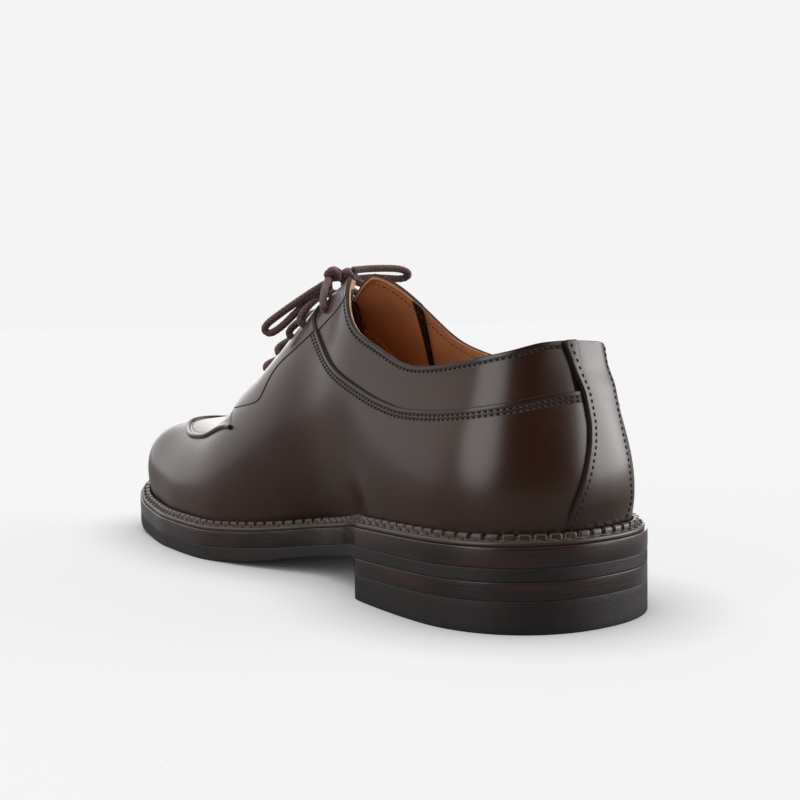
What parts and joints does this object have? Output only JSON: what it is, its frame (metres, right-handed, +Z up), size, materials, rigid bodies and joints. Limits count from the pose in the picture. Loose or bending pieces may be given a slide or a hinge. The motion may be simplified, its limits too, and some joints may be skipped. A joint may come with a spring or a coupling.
{
  "type": "derby shoe",
  "caption": "Men's right leather derby shoe with an apron front, open lacing tied in a bow, a stitched welt all round and a stacked heel.",
  "frame": {"origin": "on the floor, under the middle of the sole's outline", "axes": "+Z up, -Y towards the toe, +X towards the inner side of the foot"},
  "size_m": [0.1002, 0.296, 0.1186],
  "materials": {
    "upper_leather": "polished dark brown calf leather",
    "lining_leather": "tan lining leather, matte",
    "sole_leather": "edge-dressed sole leather, dark and waxed",
    "heel_leather": "stacked heel leather, edge-dressed",
    "welt_leather": "welt leather with a stitched, notched lip",
    "sole_rubber": "dark rubber, satin",
    "lace_cord": "round waxed cotton lace, brown"
  },
  "bodies": {
    "root": {"outsole": "sole_rubber", "midsole": "sole_leather", "heel_lift": "heel_leather", "heel_top_piece": "sole_rubber", "welt": "welt_leather", "upper": "upper_leather", "insole": "lining_leather", "tongue": "upper_leather", "lace_crossings": "lace_cord", "lace_knot": "lace_cord", "lace_loop_inner": "lace_cord", "lace_loop_outer": "lace_cord", "lace_end_inner": "lace_cord", "lace_end_outer": "lace_cord"}
  },
  "joints": []
}
